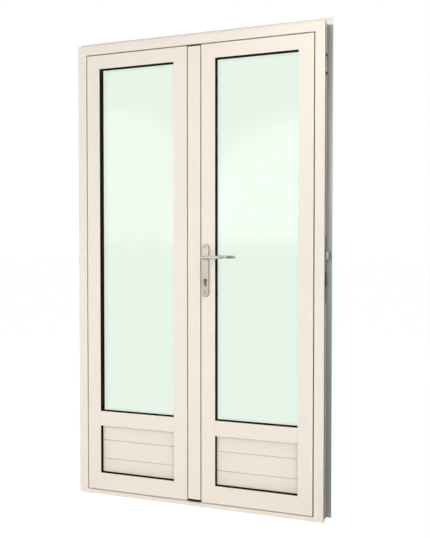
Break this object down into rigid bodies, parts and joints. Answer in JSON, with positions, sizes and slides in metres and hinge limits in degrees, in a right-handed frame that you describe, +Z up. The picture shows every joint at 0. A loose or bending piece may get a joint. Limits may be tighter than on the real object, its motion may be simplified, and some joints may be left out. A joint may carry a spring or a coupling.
{
  "type": "glazed aluminium double door",
  "caption": "Glazed aluminium double door in a frame with threshold: inward-swinging leaves with double glazing over grooved panels, lever handle, lock and bolts.",
  "frame": {"origin": "middle of the threshold's underside, in the middle of the frame's depth", "axes": "+X to the right seen from outside, +Y into the building, +Z up"},
  "size_m": [1.234, 0.2005, 2.18],
  "materials": {
    "cream_powder_coat": "satin powder coat",
    "mill_aluminium": "mill finish",
    "black_rubber": "matt rubber seal",
    "pale_green_glass": "clear float glass",
    "zinc_steel": "zinc plated",
    "grey_polyamide": "glass-filled polyamide",
    "satin_aluminium": "satin anodised",
    "black_plastic": "moulded plastic"
  },
  "bodies": {
    "frame": {"frame_head": "cream_powder_coat", "frame_jamb_left": "cream_powder_coat", "frame_jamb_right": "cream_powder_coat", "threshold": "cream_powder_coat", "frame_thermal_bars": "grey_polyamide", "frame_corner_cleats": "mill_aluminium", "frame_centre_seal": "black_rubber", "jamb_side_plate": "zinc_steel", "jamb_side_block": "zinc_steel", "bolt_keeps": "zinc_steel", "frame_hinge_leaves": "cream_powder_coat", "hinge_pins": "zinc_steel"},
    "left_leaf": {"left_hinge_stile": "cream_powder_coat", "left_meeting_stile": "cream_powder_coat", "left_top_rail": "cream_powder_coat", "left_mid_rail": "cream_powder_coat", "left_bottom_rail": "cream_powder_coat", "left_thermal_bars": "black_plastic", "left_panes": "pale_green_glass", "left_glass_spacer": "mill_aluminium", "left_outside_gasket": "black_rubber", "left_inside_gasket": "black_rubber", "left_glazing_beads": "cream_powder_coat", "left_panel": "cream_powder_coat", "left_setting_blocks": "black_plastic", "left_seals": "black_rubber", "left_hinge_leaves": "cream_powder_coat", "astragal": "cream_powder_coat", "astragal_caps": "black_plastic", "strike_plate": "zinc_steel"},
    "right_leaf": {"right_hinge_stile": "cream_powder_coat", "right_meeting_stile": "cream_powder_coat", "right_top_rail": "cream_powder_coat", "right_mid_rail": "cream_powder_coat", "right_bottom_rail": "cream_powder_coat", "right_thermal_bars": "black_plastic", "right_panes": "pale_green_glass", "right_glass_spacer": "mill_aluminium", "right_outside_gasket": "black_rubber", "right_inside_gasket": "black_rubber", "right_glazing_beads": "cream_powder_coat", "right_panel": "cream_powder_coat", "right_setting_blocks": "black_plastic", "right_seals": "black_rubber", "right_hinge_leaves": "cream_powder_coat", "lock_case": "zinc_steel", "lock_face_plate": "zinc_steel", "handle_plates": "satin_aluminium", "handle_screws": "zinc_steel", "cylinder_body": "satin_aluminium"},
    "handle": {"levers": "satin_aluminium", "spindle": "zinc_steel"},
    "plug": {"cylinder_plug": "satin_aluminium"},
    "deadbolt": {"deadbolt": "zinc_steel"},
    "latch": {"latch_bolt": "zinc_steel"},
    "upper_shoot": {"upper_shoot_bolt": "zinc_steel"},
    "lower_shoot": {"lower_shoot_bolt": "zinc_steel"},
    "upper_flush": {"upper_flush_bolt": "zinc_steel"},
    "lower_flush": {"lower_flush_bolt": "zinc_steel"}
  },
  "joints": [
    {"name": "left_leaf_swing", "type": "hinge", "parent": "frame", "child": "left_leaf", "pos_m": [-0.565, 0.053, 0], "axis": [0, 0, 1], "range_deg": [0, 100]},
    {"name": "right_leaf_swing", "type": "hinge", "parent": "frame", "child": "right_leaf", "pos_m": [0.565, 0.053, 0], "axis": [0, 0, -1], "range_deg": [0, 100]},
    {"name": "lever_lift", "type": "hinge", "parent": "right_leaf", "child": "handle", "pos_m": [0.0575, 0, 1.144], "axis": [0, -1, 0], "range_deg": [0, 45]},
    {"name": "deadbolt_throw", "type": "slide", "parent": "right_leaf", "child": "deadbolt", "axis": [-1, 0, 0], "range_m": [0, 0.022]},
    {"name": "upper_shoot_throw", "type": "slide", "parent": "right_leaf", "child": "upper_shoot", "axis": [0, 0, 1], "range_m": [0, 0.025]},
    {"name": "lower_shoot_throw", "type": "slide", "parent": "right_leaf", "child": "lower_shoot", "axis": [0, 0, -1], "range_m": [0, 0.015]},
    {"name": "latch_slide", "type": "slide", "parent": "right_leaf", "child": "latch", "axis": [-1, 0, 0], "range_m": [0, 0.02]},
    {"name": "plug_turn", "type": "hinge", "parent": "right_leaf", "child": "plug", "pos_m": [0.0575, 0, 1.039], "axis": [0, -1, 0], "range_deg": [0, 360]},
    {"name": "upper_flush_slide", "type": "slide", "parent": "left_leaf", "child": "upper_flush", "axis": [0, 0, 1], "range_m": [0, 0.025]},
    {"name": "lower_flush_slide", "type": "slide", "parent": "left_leaf", "child": "lower_flush", "axis": [0, 0, -1], "range_m": [0, 0.015]}
  ],
  "couplings": [
    {"joint": "deadbolt_throw", "follows": "lever_lift", "m_per_rad": 0.02801},
    {"joint": "upper_shoot_throw", "follows": "lever_lift", "m_per_rad": 0.03183},
    {"joint": "lower_shoot_throw", "follows": "lever_lift", "m_per_rad": 0.01909}
  ]
}
